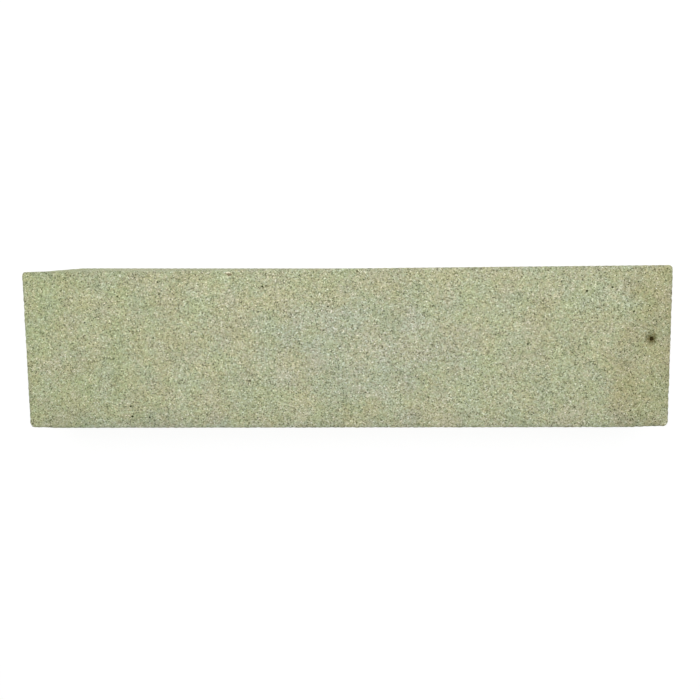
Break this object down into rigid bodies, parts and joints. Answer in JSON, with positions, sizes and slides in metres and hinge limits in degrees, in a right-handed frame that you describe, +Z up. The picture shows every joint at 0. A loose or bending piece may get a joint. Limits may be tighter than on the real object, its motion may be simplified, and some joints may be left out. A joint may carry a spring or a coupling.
{
  "type": "sharpening whetstone",
  "caption": "Flat rectangular bench whetstone of natural green-grey sandstone, for honing carving and whittling knives.",
  "frame": {"origin": "middle of the base, at the bottom centre of the whole stone's box", "axes": "+X along the length, towards the end with the iron nodule; +Y across the width, towards the long side that was sawn with a twist; +Z up out of the working face"},
  "size_m": [0.2, 0.0506, 0.025],
  "materials": {
    "sandstone": "matte",
    "iron_oxide": "matte",
    "ochre": "matte",
    "dark_mineral": "matte",
    "quartz": "satin"
  },
  "bodies": {
    "root": {"stone_block": "sandstone", "iron_nodule": "iron_oxide", "ochre_flake": "ochre", "dark_grains": "dark_mineral", "quartz_grains": "quartz"}
  },
  "joints": []
}
